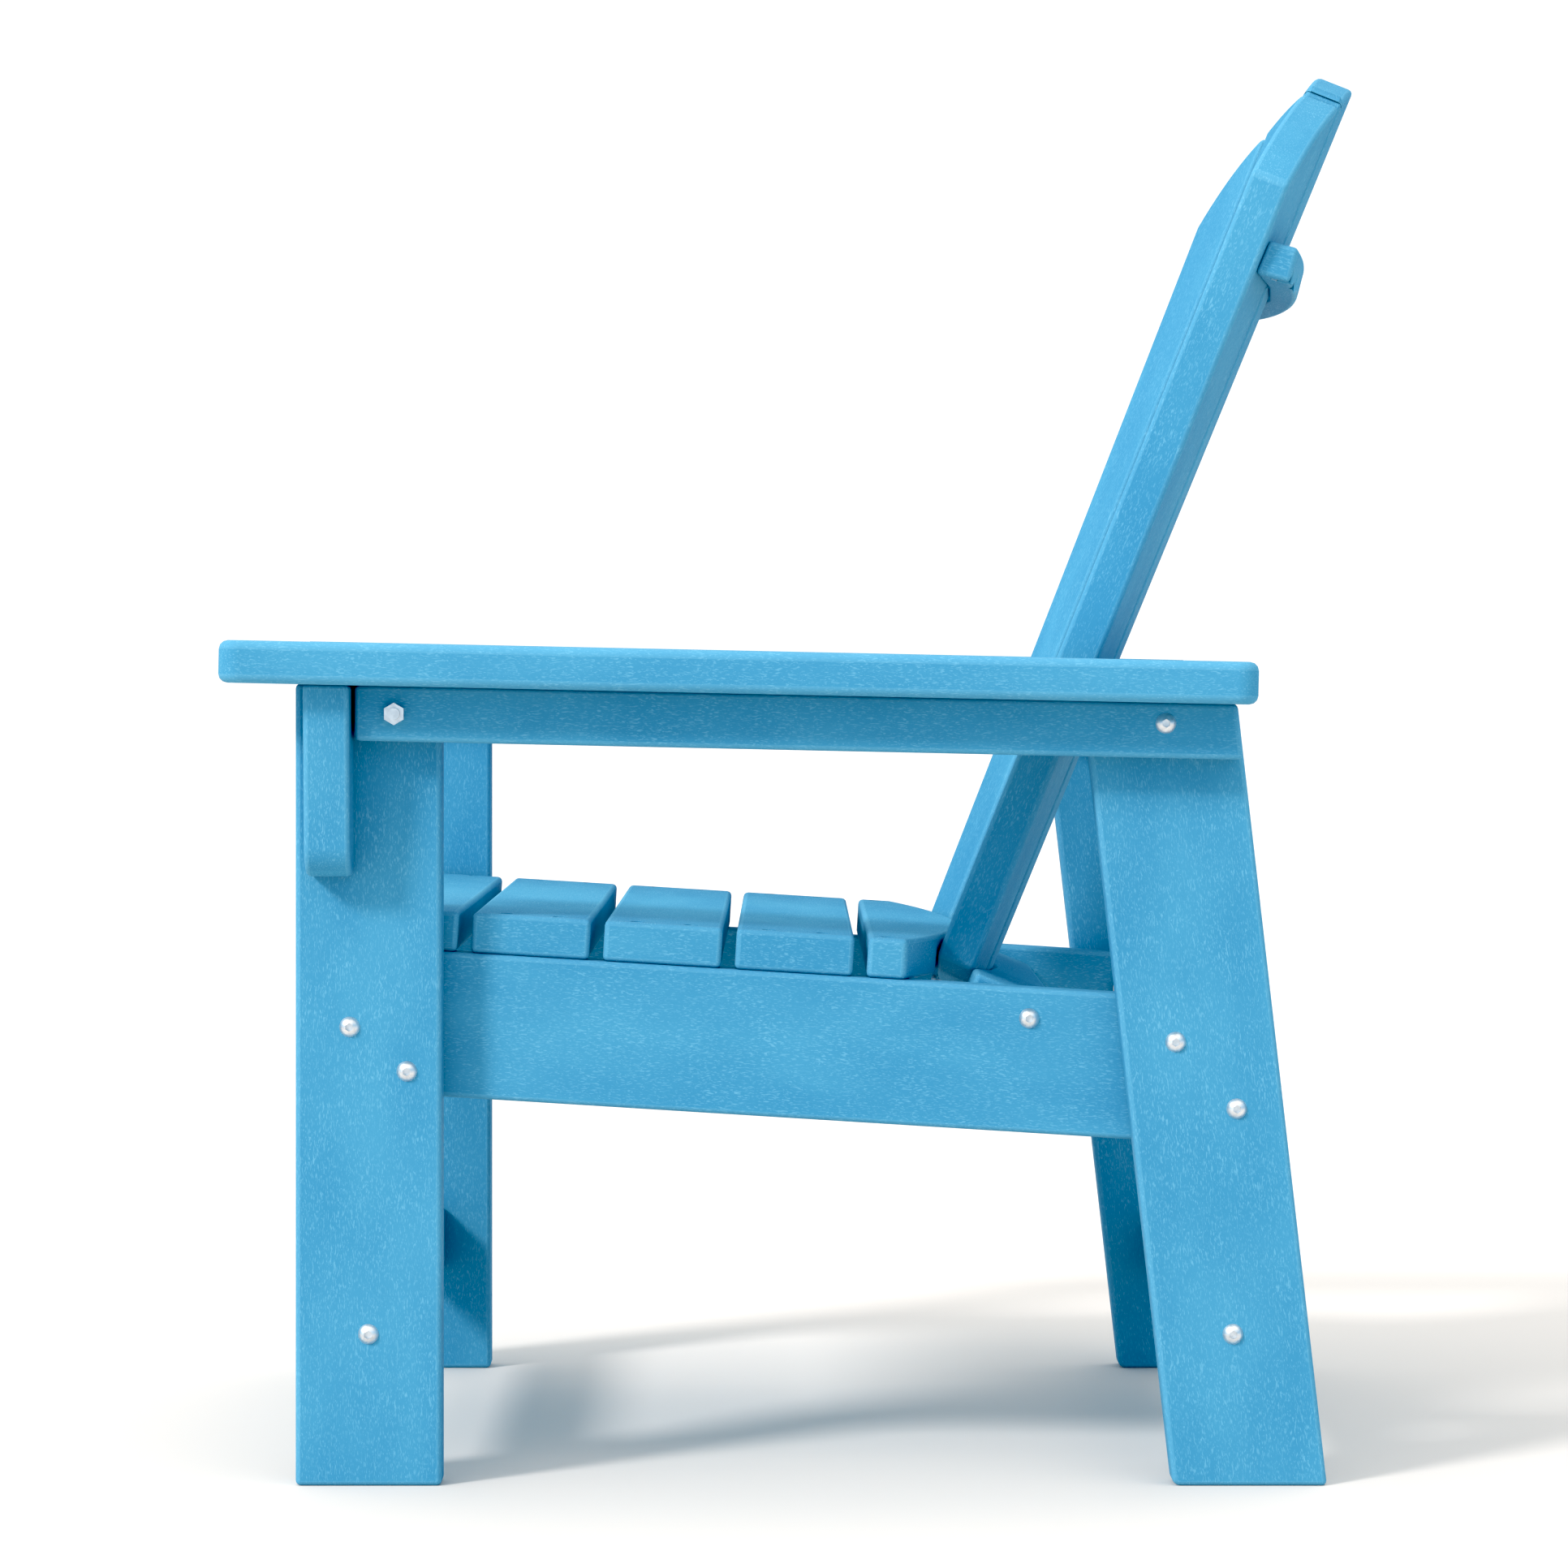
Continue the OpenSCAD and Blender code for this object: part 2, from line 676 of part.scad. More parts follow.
module rear_stretcher() {
    color(POLY)
    in_chair()
    difference() {
        translate([0, rear_stretcher_y, stretcher_z])
        rotate([rear_lean, 0, 0])
        cube([2 * x_leg_in, board_t, stretcher_h], center = true);
        for (side = SIDES)
            mirror([side > 0 ? 0 : 1, 0, 0])
            union() {
                bolt_hole(x_leg_in, rear_stretcher_bolt, barrel_bolt_l);
                barrel_at(x_leg_in, rear_stretcher_bolt, rear_lean - 90)
                barrel_hole();
            }
    }
}

// ---- Arms ----

// A slab from y0 to y1 and x0 to x1 with rounded corners
module rounded_plan(x0, x1, y0, y1, r) {
    translate([x0 + r, y0])
    square([x1 - x0 - 2 * r, y1 - y0]);
    translate([x0, y0 + r])
    square([x1 - x0, y1 - y0 - 2 * r]);
    for (x = [x0 + r, x1 - r], y = [y0 + r, y1 - r])
        translate([x, y])
        circle(r);
}

module arm(side) {
    leg_end = lean_meets(frame_d, arm_under_0, arm_fall) / cos(arm_drop);
    color(POLY)
    on_side(side)
    difference() {
        arm_slope()
        linear_extrude(arm_t)
        rounded_plan(x_arm_in, x_arm_out, -arm_front, leg_end + arm_rear, arm_corner_r);
        arm_rail_screw_places()
        screw_hole(arm_screw_l);
        mid_rail_arm_screw_places()
        screw_hole(seat_screw_l);
    }
}

module arm_rail(side) {
    front = bracket_front + bracket_t + bracket_gap;
    rear_floor = frame_d - arm_rail_rear;
    rear_top = lean_meets(rear_floor, arm_under_0, arm_fall);
    rear_bottom = lean_meets(rear_floor, arm_rail_bottom_0, arm_fall);
    color(POLY)
    on_side(side)
    difference() {
        side_board(x_leg_out, board_t)
        polygon([
            [front, arm_rail_bottom(front)],
            [rear_bottom, arm_rail_bottom(rear_bottom)],
            [rear_top, arm_under(rear_top)],
            [front, arm_under(front)]
        ]);
        for (place = [arm_front_bolt, arm_rear_bolt])
            bolt_hole(x_arm_rail_out, place, board_t);
        arm_rail_screw_places()
        screw_hole(arm_screw_l);
    }
}

module arm_bracket(side) {
    top = arm_h;
    toe = [x_leg_out + bracket_toe, bracket_z];
    shoulder = [x_leg_out + bracket_reach, bracket_z + bracket_l];
    color(POLY)
    on_side(side)
    difference() {
        translate([0, bracket_front + bracket_t, 0])
        rotate([90, 0, 0])
        linear_extrude(bracket_t)
        difference() {
            polygon([
                [x_leg_out, bracket_z], toe, shoulder,
                [shoulder[0], top], [x_leg_out, top]
            ]);
            corner_sliver(toe, [x_leg_out, bracket_z], shoulder, bracket_r);
        }
        arm_slope()
        translate([0, -far, 0])
        cube([2 * far, 2 * far, far]);
        bracket_screw_places()
        screw_hole(board_t - screw_sink + screw_grip);
    }
}

// ---- Seat ----

module seat_slat(i) {
    depth = i == rear_slat ? rear_slat_end - rear_slat_front : slat_pitch - seat_gap;
    difference() {
        color(POLY)
        in_chair()
        difference() {
            seat_slope()
            linear_extrude(board_t)
            intersection() {
                translate([-seat_slat_half, slat_front(i)])
                square([2 * seat_slat_half, depth]);
                if (i == rear_slat)
                    translate([0, rear_slat_end - rear_slat_r])
                    circle(rear_slat_r, $fn = fine);
            }
            if (i == rear_slat)
                for (k = SLATS)
                    on_slat(k)
                    stave(k, -board_t, seat_back_clear, seat_back_clear);
        }
        seat_screw_places(i)
        screw_hole(seat_screw_l);
    }
}

// ---- Back ----

// The space of stave k of the cone from depth low to high, and past its outer edge by more
module stave(k, low, high, more) {
    v0 = slat_foot - board_t;
    v1 = back_top;
    left = k == -2 ? more : 0;
    right = k == 2 ? more : 0;
    translate([0, 0, low])
    linear_extrude(high - low)
    polygon([
        [-stave_half(v0) - left, v0], [stave_half(v0) + right, v0],
        [stave_half(v1) + right, v1], [-stave_half(v1) - left, v1]
    ]);
}

// What is cut off above the shoulder of the top outline, on the side of +x
module shoulder_waste() {
    up = [sin(crown_angle), cos(crown_angle)];
    centre = [shoulder_u, shoulder_v];
    difference() {
        polygon([centre, centre + far * up, centre + far * (up + [1, 0]), centre + far * [1, 0]]);
        translate(centre)
        circle(shoulder_r, $fn = fine);
    }
}

module back_slat(k) {
    color(POLY)
    difference() {
        in_chair()
        on_slat(k)
        translate([0, 0, -board_t])
        linear_extrude(board_t)
        difference() {
            intersection() {
                polygon([
                    [-slat_half(slat_foot), slat_foot], [slat_half(slat_foot), slat_foot],
                    [slat_half(back_top), back_top], [-slat_half(back_top), back_top]
                ]);
                translate([0, -cone_tip])
                rotate(k * fan_in_plane)
                translate([0, cone_tip + crown_v])
                circle(crown_r, $fn = fine);
            }
            if (k != 0)
                translate([0, -cone_tip])
                rotate(k * fan_in_plane)
                translate([0, cone_tip])
                mirror([k > 0 ? 0 : 1, 0])
                shoulder_waste();
        }
        slat_screw_places(k, lower_mid)
        screw_hole(back_screw_l);
        slat_screw_places(k, mid_screw_v)
        screw_hole(back_screw_l);
        upper_screw_places(k)
        screw_hole(upper_screw_l);
    }
}

// Shapes a back rail to the slats' rear faces
module fit_to_slats() {
    difference() {
        children();
        in_chair()
        for (k = SLATS)
            on_slat(k)
            stave(k, -board_t, far / 4, board_t);
    }
}

module upper_back_rail() {
    color(POLY)
    difference() {
        fit_to_slats()
        in_chair()
        upper_slope()
        translate([0, 0, -upper_rail_t])
        linear_extrude(upper_rail_t)
        intersection() {
            translate([-upper_half, -upper_end_front - board_t])
            square([2 * upper_half, upper_end_front + board_t + upper_rail_mid_d]);
            translate([0, upper_rail_mid_d - upper_arc_r])
            circle(upper_arc_r, $fn = fine);
        }
        for (k = SLATS)
            upper_screw_places(k)
            screw_hole(upper_screw_l);
    }
}

module mid_back_rail() {
    color(POLY)
    difference() {
        fit_to_slats()
        in_chair()
        arm_slope()
        translate([-x_leg_in, mid_rail_front, -board_t])
        cube([2 * x_leg_in, mid_rail_rear - mid_rail_front, board_t]);
        for (side = SIDES)
            on_side(side)
            union() {
                bolt_hole(x_leg_in, arm_rear_bolt, barrel_bolt_l);
                barrel_at(x_leg_in, arm_rear_bolt, -arm_drop)
                barrel_hole();
                mid_rail_arm_screw_places()
                screw_hole(seat_screw_l);
            }
        for (k = SLATS)
            slat_screw_places(k, mid_screw_v)
            screw_hole(back_screw_l);
    }
}

module lower_back_rail() {
    color(POLY)
    difference() {
        fit_to_slats()
        in_chair()
        on_slat(0)
        translate([-x_rail_in, lower_top - board_t, -lower_rail_set - lower_rail_d])
        cube([2 * x_rail_in, board_t, lower_rail_d]);
        for (side = SIDES)
            on_side(side)
            union() {
                bolt_hole(x_rail_in, lower_rail_bolt, barrel_bolt_l);
                barrel_at(x_rail_in, lower_rail_bolt, -recline)
                barrel_hole();
            }
        for (k = SLATS)
            slat_screw_places(k, lower_mid)
            screw_hole(back_screw_l);
    }
}

// ---- Hardware ----

module leg_bolts() {
    for (side = SIDES, place = leg_bolt_places)
        on_side(side)
        cross_bolt(x_leg_out, place, leg_bolt_l);
}

module leg_washers() {
    for (side = SIDES, place = leg_bolt_places)
        on_side(side)
        cross_washer(x_rail_in, place);
}

module leg_nuts() {
    for (side = SIDES, place = leg_bolt_places)
        on_side(side)
        cross_nut(x_rail_in - washer_t, place);
}

module rail_end_bolts() {
    for (side = SIDES, place = stretcher_bolt_places)
        on_side(side)
        cross_bolt(x_leg_out, place, board_t + barrel_bolt_l - bolt_tip);
    for (side = SIDES)
        on_side(side)
        cross_bolt(x_leg_in, lower_rail_bolt, board_t + barrel_bolt_l - bolt_tip);
}

module arm_rear_bolts() {
    for (side = SIDES)
        on_side(side)
        cross_bolt(x_arm_rail_out, arm_rear_bolt, 2 * board_t + barrel_bolt_l - bolt_tip);
}

module barrel_nuts() {
    for (side = SIDES)
        on_side(side) {
            barrel_at(x_leg_in, front_stretcher_bolt, 90)
            barrel_nut();
            barrel_at(x_leg_in, rear_stretcher_bolt, rear_lean - 90)
            barrel_nut();
            barrel_at(x_leg_in, arm_rear_bolt, -arm_drop)
            barrel_nut();
            barrel_at(x_rail_in, lower_rail_bolt, -recline)
            barrel_nut();
        }
}

module arm_front_bolts() {
    for (side = SIDES)
        on_side(side)
        translate([x_leg_in, arm_front_bolt[0], arm_front_bolt[1]])
        rotate([0, -90, 0])
        bolt(arm_front_bolt_l);
}

module arm_front_nuts() {
    for (side = SIDES)
        on_side(side)
        cross_nut(x_arm_rail_out + nut_h, arm_front_bolt);
}

module seat_screws() {
    for (i = [1:rear_slat])
        seat_screw_places(i)
        screw(seat_screw_l);
}

module lower_rail_screws() {
    for (k = SLATS)
        slat_screw_places(k, lower_mid)
        screw(back_screw_l);
}

module mid_rail_screws() {
    for (k = SLATS)
        slat_screw_places(k, mid_screw_v)
        screw(back_screw_l);
}

module upper_rail_screws() {
    for (k = SLATS)
        upper_screw_places(k)
        screw(upper_screw_l);
}

module arm_screws() {
    for (side = SIDES)
        on_side(side) {
            arm_rail_screw_places()
            screw(arm_screw_l);
            mid_rail_arm_screw_places()
            screw(seat_screw_l);
        }
}

module bracket_screws() {
    for (side = SIDES)
        on_side(side)
        bracket_screw_places()
        screw(board_t - screw_sink + screw_grip);
}

front_leg(1);  // front_leg_l
front_leg(-1);  // front_leg_r
rear_leg(1);  // rear_leg_l
rear_leg(-1);  // rear_leg_r
seat_rail(1);  // seat_rail_l
seat_rail(-1);  // seat_rail_r
arm(1);  // arm_l
arm(-1);  // arm_r
arm_rail(1);  // arm_rail_l
arm_rail(-1);  // arm_rail_r
arm_bracket(1);  // arm_bracket_l
arm_bracket(-1);  // arm_bracket_r
for (i = [1:rear_slat])
    seat_slat(i);
for (k = SLATS)
    back_slat(k);
upper_back_rail();
mid_back_rail();
lower_back_rail();
front_stretcher();
rear_stretcher();
leg_bolts();
leg_washers();
leg_nuts();
rail_end_bolts();
arm_rear_bolts();
barrel_nuts();
arm_front_bolts();
arm_front_nuts();
seat_screws();
lower_rail_screws();
mid_rail_screws();
upper_rail_screws();
arm_screws();
bracket_screws();
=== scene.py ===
"""Looks of the adirondack chair: board edges, plastic lumber and steel, floor, light and camera."""

import json
import math

import bmesh
import bpy
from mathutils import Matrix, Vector


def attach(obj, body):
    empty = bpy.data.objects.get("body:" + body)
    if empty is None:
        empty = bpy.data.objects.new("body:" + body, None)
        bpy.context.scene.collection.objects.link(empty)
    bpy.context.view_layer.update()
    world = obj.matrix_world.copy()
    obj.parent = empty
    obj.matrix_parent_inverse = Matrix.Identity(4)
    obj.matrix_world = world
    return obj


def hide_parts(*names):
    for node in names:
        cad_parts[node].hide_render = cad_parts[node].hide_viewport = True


MM = 0.001

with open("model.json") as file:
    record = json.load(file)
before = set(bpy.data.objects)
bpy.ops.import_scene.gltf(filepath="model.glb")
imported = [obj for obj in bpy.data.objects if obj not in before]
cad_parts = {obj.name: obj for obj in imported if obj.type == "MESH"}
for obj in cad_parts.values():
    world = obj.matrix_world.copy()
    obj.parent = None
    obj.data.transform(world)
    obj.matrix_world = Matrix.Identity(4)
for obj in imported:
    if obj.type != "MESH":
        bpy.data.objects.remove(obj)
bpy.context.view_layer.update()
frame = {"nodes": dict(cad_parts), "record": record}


# ---- Nodes: a short way to wire a material ----


class Wiring:
    """Adds nodes to a node tree and links them."""

    def __init__(self, tree):
        self.tree = tree

    def fill(self, socket, value):
        """Links another node's output to the socket, or writes a plain value into it."""
        if isinstance(value, bpy.types.NodeSocket):
            self.tree.links.new(value, socket)
        else:
            socket.default_value = value

    def add(self, kind, inputs=None, **settings):
        """A new node of this kind. inputs maps a socket to a value or to another node's output."""
        node = self.tree.nodes.new(kind)
        for key, value in settings.items():
            setattr(node, key, value)
        for key, value in (inputs or {}).items():
            self.fill(node.inputs[key], value)
        return node

    def noise(self, vector, scale=1.0, detail=2.0, roughness=0.5):
        """The value of a noise texture."""
        inputs = {"Vector": vector, "Scale": scale, "Detail": detail, "Roughness": roughness}
        return self.add("ShaderNodeTexNoise", inputs).outputs["Fac"]

    def between(self, value, low, high, to_low=0.0, to_high=1.0):
        """value from low to high, mapped smoothly to to_low and to_high."""
        inputs = {"Value": value, "From Min": low, "From Max": high, "To Min": to_low, "To Max": to_high}
        node = self.add("ShaderNodeMapRange", inputs, interpolation_type="SMOOTHSTEP")
        return node.outputs["Result"]

    def math(self, operation, a, b):
        """a and b put together."""
        return self.add("ShaderNodeMath", {0: a, 1: b}, operation=operation).outputs[0]

    def mix(self, factor, a, b):
        """Colour a at factor 0 and b at factor 1."""
        node = self.add("ShaderNodeMix", data_type="RGBA")
        inputs = {socket.identifier: socket for socket in node.inputs}
        outputs = {socket.identifier: socket for socket in node.outputs}
        self.fill(inputs["Factor_Float"], factor)
        self.fill(inputs["A_Color"], a)
        self.fill(inputs["B_Color"], b)
        return outputs["Result_Color"]

    def scaled(self, vector, factors):
        """vector times factors, axis by axis."""
        inputs = {0: vector, 1: factors}
        return self.add("ShaderNodeVectorMath", inputs, operation="MULTIPLY").outputs[0]

    def bump(self, height, strength, distance):
        """A surface normal that follows height, distance metres deep."""
        inputs = {"Height": height, "Strength": strength, "Distance": distance}
        return self.add("ShaderNodeBump", inputs).outputs["Normal"]


def new_material(name):
    """A material, the wiring of its tree and its shader node."""
    material = bpy.data.materials.new(name)
    material.use_nodes = True
    shader = material.node_tree.nodes["Principled BSDF"]
    return material, Wiring(material.node_tree), shader


# ---- Materials ----

# The lumber's two mottled tones, and the paler tone of its fibres, which is also painted on the rounded
# edges as a highlight
LUMBER = (0.087, 0.318, 0.482, 1.0)
LUMBER_DEEP = (0.068, 0.274, 0.440, 1.0)
PALE_FIBRE_AND_HIGHLIGHT = (0.242, 0.540, 0.680, 1.0)
# How far a fibre turns to the paler tone, and how far a rounded edge turns to it as a painted highlight
FIBRE_SHARE = 0.42
EDGE_HIGHLIGHT_SHARE = 0.16

# How close together each pattern lies: noise steps per mm along the board, across it and through it
FIBRES = (0.22, 1.10, 1.10)
HAIRS = (0.34, 1.90, 1.90)
FLECKS = (0.60, 1.30, 1.30)
CLOUDS = (0.008, 0.02, 0.02)
SHEEN = (0.25, 0.7, 0.7)
# The same for the patterns that are alike in every direction
PATCHES = 0.030
PITS = 0.6
# The fibres' waviness: noise steps per mm, and how far they wander, in mm, in the three directions
WAVES = 0.11
WANDER = (5.0, 2.2, 2.2)

LUMBER_ROUGHNESS = {"to_low": 0.58, "to_high": 0.74}
LUMBER_IOR = 1.49
LUMBER_SPECULAR = 0.08

# The fasteners' bright steel: two tones, and noise steps per metre for its smears and fine scuffs
STEEL = (0.70, 0.71, 0.72, 1.0)
STEEL_PALE = (0.84, 0.84, 0.84, 1.0)
SMEARS = 240.0
SCUFFS = 2600.0
STEEL_ROUGHNESS = {"to_low": 0.34, "to_high": 0.46}

# The studio floor: two tones that hardly differ, and a matt finish
FLOOR = (0.735, 0.680, 0.635, 1.0)
FLOOR_PALE = (0.745, 0.690, 0.645, 1.0)
FLOOR_ROUGHNESS = 0.9


def lumber_material():
    """Solid-coloured plastic lumber: fine pale fibres along the board, soft mottling, satin, and a
    painted highlight on the rounded edges.
    """
    material, w, shader = new_material("plastic_lumber")
    grain = w.add("ShaderNodeAttribute", attribute_name="grain").outputs["Vector"]
    # edge is 1 on the rounded faces, where a highlight is painted in the paler tone
    edge = w.add("ShaderNodeAttribute", attribute_name="edge").outputs["Fac"]

    waves = w.add("ShaderNodeTexNoise", {"Vector": grain, "Scale": WAVES, "Detail": 1.0}).outputs["Color"]
    wander = w.scaled(waves, WANDER)
    bent = w.add("ShaderNodeVectorMath", {0: grain, 1: wander}, operation="ADD").outputs[0]

    fibres = w.noise(w.scaled(bent, FIBRES), detail=1.0, roughness=0.4)
    hairs = w.noise(w.scaled(bent, HAIRS), detail=0.0)
    flecks = w.noise(w.scaled(bent, FLECKS), detail=0.0)
    patches = w.noise(grain, scale=PATCHES, detail=3.0, roughness=0.55)
    clouds = w.noise(w.scaled(grain, CLOUDS))

    patchy = w.between(patches, low=0.35, high=0.62, to_low=0.25)
    pale = w.math("MULTIPLY", w.between(fibres, low=0.58, high=0.70), patchy)
    thin = w.between(hairs, low=0.66, high=0.76, to_high=0.85)
    spots = w.between(flecks, low=0.74, high=0.82, to_high=0.9)
    marks = w.math("MAXIMUM", w.math("MAXIMUM", pale, thin), spots)

    body = w.mix(w.between(clouds, low=0.25, high=0.75), LUMBER_DEEP, LUMBER)
    body = w.mix(w.math("MULTIPLY", marks, FIBRE_SHARE), body, PALE_FIBRE_AND_HIGHLIGHT)
    # Painted highlight: the rounded edges turn towards the paler tone
    body = w.mix(w.math("MULTIPLY", edge, EDGE_HIGHLIGHT_SHARE), body, PALE_FIBRE_AND_HIGHLIGHT)
    w.fill(shader.inputs["Base Color"], body)

    sheen = w.noise(w.scaled(grain, SHEEN), detail=3.0)
    w.fill(shader.inputs["Roughness"], w.between(sheen, low=0.25, high=0.75, **LUMBER_ROUGHNESS))

    pits = w.math("MULTIPLY", w.noise(grain, scale=PITS), 0.3)
    height = w.math("ADD", w.math("MULTIPLY", fibres, 0.7), pits)
    w.fill(shader.inputs["Normal"], w.bump(height, strength=0.22, distance=0.35 * MM))
    shader.inputs["IOR"].default_value = LUMBER_IOR
    shader.inputs["Specular IOR Level"].default_value = LUMBER_SPECULAR
    return material


def steel_material():
    """Plain stainless steel, finely scuffed."""
    material, w, shader = new_material("stainless_steel")
    place = w.add("ShaderNodeTexCoord").outputs["Object"]
    scuffs = w.noise(place, scale=SCUFFS, detail=3.0, roughness=0.6)
    smears = w.noise(place, scale=SMEARS)
    tone = w.mix(w.between(smears, low=0.3, high=0.7), STEEL, STEEL_PALE)
    w.fill(shader.inputs["Base Color"], tone)
    w.fill(shader.inputs["Roughness"], w.between(scuffs, low=0.3, high=0.7, **STEEL_ROUGHNESS))
    w.fill(shader.inputs["Normal"], w.bump(scuffs, strength=0.12, distance=0.02 * MM))
    shader.inputs["Metallic"].default_value = 1.0
    return material


def floor_material():
    """A plain, matt, pale floor."""
    material, w, shader = new_material("studio_floor")
    place = w.add("ShaderNodeTexCoord").outputs["Object"]
    soft = w.noise(place, scale=0.8)
    w.fill(shader.inputs["Base Color"], w.mix(w.between(soft, low=0.3, high=0.7), FLOOR, FLOOR_PALE))
    shader.inputs["Roughness"].default_value = FLOOR_ROUGHNESS
    shader.inputs["Specular IOR Level"].default_value = 0.0
    return material


# ---- Boards: each CAD board again, with rounded edges and its own grain ----

# Corners this close are one, and faces within this angle of each other are one flat face
MERGE = 0.002 * MM
FLAT = math.radians(0.2)
# An edge this steep is sharp, and a ring of sharp edges no wider than this is a hole's rim
SHARP = math.radians(28)
HOLE_SPAN = 26 * MM

# Radius of the boards' rounded edges, the boards that have their own, and the flat steps in the round
EDGE_ROUND_MM = 3.5
OWN_EDGE_ROUND_MM = {"arm_l": 6.0, "arm_r": 6.0}
EDGE_STEPS = 3
ROUND_PROFILE = 0.5
# Boards whose rounding stops where two edges would run into each other; black faces show otherwise
HELD_BACK = ("rear_leg",)
# Slivers shorter than this are taken out, and edges steeper than this stay crisp
SLIVER = 0.01 * MM
CRISP = math.radians(32)

# Boards that run from side to side
ACROSS = ("seat_slat", "upper_back", "mid_back", "lower_back", "front_stretcher", "rear_stretcher")
# Cosines: two faces that point the same way, an edge that lies in a board's flat, and a board's end
SAME_WAY = 0.99
IN_THE_FLAT = 0.2
END_ON = 0.8
# How far one board's pattern lies from the next one's, in mm
GRAIN_STEP = 137.0


def clean_mesh(source):
    """The CAD mesh with its split corners merged and its flat faces made whole."""
    bm = bmesh.new()
    bm.from_mesh(source.data)
    bmesh.ops.remove_doubles(bm, verts=bm.verts, dist=MERGE)
    bmesh.ops.dissolve_limit(bm, angle_limit=FLAT, verts=bm.verts, edges=bm.edges)
    bm.normal_update()
    return bm


def edge_groups(edges):
    """The edges in groups that touch."""
    left, groups = set(edges), []
    while left:
        start = left.pop()
        group, todo = [start], [start]
        while todo:
            for vert in todo.pop().verts:
                for other in vert.link_edges:
                    if other in left:
                        left.remove(other)
                        group.append(other)
                        todo.append(other)
        groups.append(group)
    return groups


def widest(edges):
    """The longest side of the edges' box."""
    points = [vert.co for edge in edges for vert in edge.verts]
    return max(max(p[axis] for p in points) - min(p[axis] for p in points) for axis in range(3))


def outline_edges(bm):
    """The sharp edges of the board itself, without the rims of its holes."""
    sharp = [e for e in bm.edges if len(e.link_faces) == 2 and e.calc_face_angle(0.0) > SHARP]
    return [e for group in edge_groups(sharp) if widest(group) > HOLE_SPAN for e in group]


def edge_vector(edge):
    """From one end of the edge to the other."""
    return edge.verts[1].co - edge.verts[0].co


def board_axes(name, bm):
    """The board's length, width and thickness directions."""
    areas = {}
    for face in bm.faces:
        facing = next((n for n in areas if abs(n.dot(face.normal)) > SAME_WAY), None)
        if facing is None:
            facing = face.normal.copy().freeze()
            areas[facing] = 0.0
        areas[facing] += face.calc_area()
    thick = max(areas, key=areas.get).normalized()
    if name.startswith(ACROSS):
        length = Vector((1.0, 0.0, 0.0))
    else:
        flat = [e for e in bm.edges if abs(edge_vector(e).normalized().dot(thick)) < IN_THE_FLAT]
        length = edge_vector(max(flat, key=lambda e: e.calc_length()))
    length = (length - thick * length.dot(thick)).normalized()
    return length, thick.cross(length), thick


def round_edges(name, bm):
    """Rounds the board's outline, and sets the face layer "rounded" to 1 on the new faces."""
    rounded = bm.faces.layers.int.new("rounded")
    made = bmesh.ops.bevel(
        bm,
        geom=outline_edges(bm),
        offset=OWN_EDGE_ROUND_MM.get(name, EDGE_ROUND_MM) * MM,
        offset_type="OFFSET",
        segments=EDGE_STEPS,
        profile=ROUND_PROFILE,
        affect="EDGES",
        clamp_overlap=name.startswith(HELD_BACK),
    )
    for face in made["faces"]:
        face[rounded] = 1
    bmesh.ops.dissolve_degenerate(bm, dist=SLIVER, edges=bm.edges)
    for face in bm.faces:
        face.smooth = True


def add_grain(mesh, axes, shift):
    """Writes what the lumber follows: each corner's place on the board, in mm, and the rounded edges,
    where a highlight is painted.
    """
    length, width, thick = axes
    grain = mesh.attributes.new("grain", "FLOAT_VECTOR", "CORNER")
    # edge marks the rounded faces that get the painted highlight
    edge = mesh.attributes.new("edge", "FLOAT", "FACE")
    rounded = mesh.attributes["rounded"]
    for polygon in mesh.polygons:
        end = abs(polygon.normal.dot(length)) > END_ON
        a, b, c = (width, length, thick) if end else (length, width, thick)
        for loop in polygon.loop_indices:
            p = mesh.vertices[mesh.loops[loop].vertex_index].co / MM
            grain.data[loop].vector = (p.dot(a) + shift, p.dot(b) + 2 * shift, p.dot(c) - shift)
        edge.data[polygon.index].value = float(rounded.data[polygon.index].value)


def make_board(name, number, material):
    """A piece that stands for the CAD board, with its edges rounded."""
    bm = clean_mesh(frame["nodes"][name])
    axes = board_axes(name, bm)
    round_edges(name, bm)
    mesh = bpy.data.meshes.new(name + "_board")
    bm.to_mesh(mesh)
    bm.free()
    add_grain(mesh, axes, GRAIN_STEP * number)
    mesh.set_sharp_from_angle(angle=CRISP)
    mesh.materials.append(material)
    piece = bpy.data.objects.new(name + "_board", mesh)
    bpy.context.scene.collection.objects.link(piece)
    weighted = piece.modifiers.new("face_normals", "WEIGHTED_NORMAL")
    weighted.keep_sharp = True
    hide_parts(name)
    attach(piece, "root")


def make_chair():
    """A board for every lumber node, and steel on every other node."""
    lumber = lumber_material()
    steel = steel_material()
    slots = {part["node"]: part["material_slot"] for part in frame["record"]["subparts"]}
    boards = sorted(name for name in slots if slots[name] == "poly_lumber")
    for number, name in enumerate(boards, start=1):
        make_board(name, number, lumber)
    for name in sorted(set(slots) - set(boards)):
        materials = frame["nodes"][name].data.materials
        materials.clear()
        materials.append(steel)


# ---- Floor, light and camera ----

# How far the floor reaches from the middle, in metres
FLOOR_REACH = 30.0

# The studio's light at eye level and below, its light overhead, and what the camera sees behind the chair
EYE_LEVEL = (0.24, 0.62, 0.95, 1.0)
OVERHEAD = (1.82, 1.72, 1.60, 1.0)
BACKDROP = (1.1, 1.1, 1.1, 1.0)
# The light turns from one to the other between these heights: 0 is level and 1 is straight up
TURN_LOW = 0.1
TURN_HIGH = 1.0

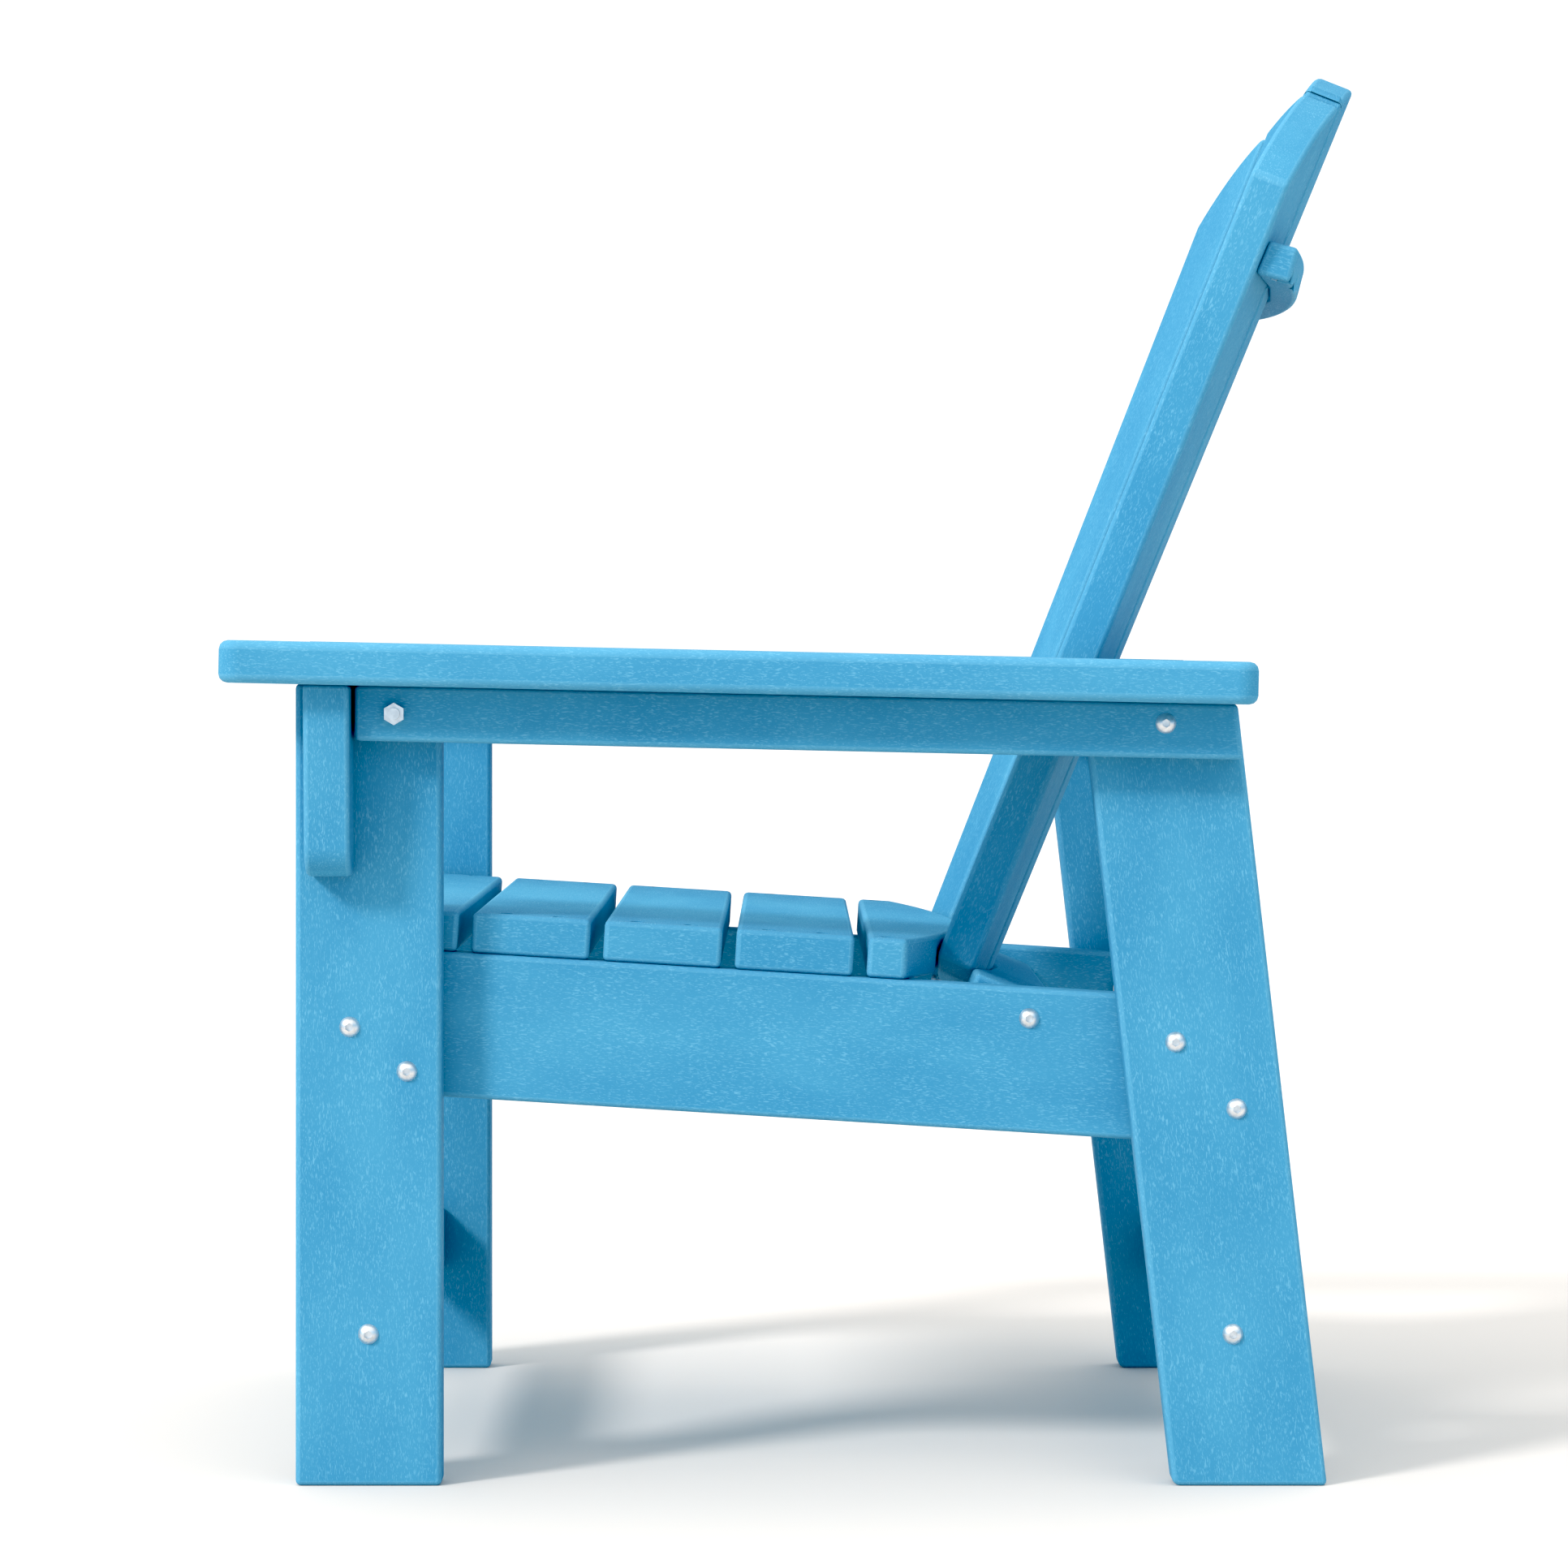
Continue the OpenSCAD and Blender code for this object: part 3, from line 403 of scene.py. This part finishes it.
# The key light: the way it shines, its strength in watts per square metre and its width in degrees
KEY_TOWARDS = (-0.53, 0.62, -0.57)
KEY_STRENGTH = 2.25
KEY_WIDTH = 11.0

# The camera: where it stands, its sensor and lens in mm, and its shifts in widths of the picture
CAMERA_PLACE = (3.656, -0.0140, 0.5671)
SENSOR_WIDTH = 36.0
LENS = 114.04
SHIFT_X = -0.0038
SHIFT_Y = -0.0859
FAR_LIMIT = 200.0

# Tones this dark and darker print black
BLACK = 0.035


def make_floor():
    """A wide, flat floor under the chair."""
    bm = bmesh.new()
    bmesh.ops.create_grid(bm, x_segments=8, y_segments=8, size=FLOOR_REACH)
    mesh = bpy.data.meshes.new("floor")
    bm.to_mesh(mesh)
    bm.free()
    mesh.materials.append(floor_material())
    floor = bpy.data.objects.new("floor", mesh)
    bpy.context.scene.collection.objects.link(floor)


def make_world():
    """A studio that is bright overhead, bluish and dim at eye level, and white behind the object."""
    world = bpy.data.worlds.new("studio")
    bpy.context.scene.world = world
    world.use_nodes = True
    w = Wiring(world.node_tree)
    place = w.add("ShaderNodeTexCoord").outputs["Generated"]
    height = w.add("ShaderNodeSeparateXYZ", {0: place}).outputs["Z"]
    light = w.mix(w.between(height, TURN_LOW, TURN_HIGH), EYE_LEVEL, OVERHEAD)
    camera_ray = w.add("ShaderNodeLightPath").outputs["Is Camera Ray"]
    background = world.node_tree.nodes["Background"]
    w.fill(background.inputs["Color"], w.mix(camera_ray, light, BACKDROP))


def make_key_light():
    """A distant lamp, above and behind the camera's left shoulder."""
    lamp = bpy.data.lights.new("key", "SUN")
    lamp.energy = KEY_STRENGTH
    lamp.angle = math.radians(KEY_WIDTH)
    key = bpy.data.objects.new("key", lamp)
    key.rotation_euler = Vector(KEY_TOWARDS).to_track_quat("-Z", "Y").to_euler()
    bpy.context.scene.collection.objects.link(key)


def make_camera():
    """Level, looking along -X at the chair's left side."""
    data = bpy.data.cameras.new("camera")
    data.sensor_width = SENSOR_WIDTH
    data.lens = LENS
    data.shift_x = SHIFT_X
    data.shift_y = SHIFT_Y
    data.clip_end = FAR_LIMIT
    camera = bpy.data.objects.new("camera", data)
    camera.location = CAMERA_PLACE
    camera.rotation_euler = (math.radians(90), 0.0, math.radians(90))
    bpy.context.scene.collection.objects.link(camera)
    bpy.context.scene.camera = camera


def make_print():
    """How the picture is developed: plain, with slightly deepened shadows."""
    settings = bpy.context.scene.view_settings
    settings.view_transform = "Standard"
    settings.use_curve_mapping = True
    settings.curve_mapping.black_level = (BLACK, BLACK, BLACK)
    settings.curve_mapping.update()


make_chair()
make_floor()
make_world()
make_key_light()
make_camera()
make_print()
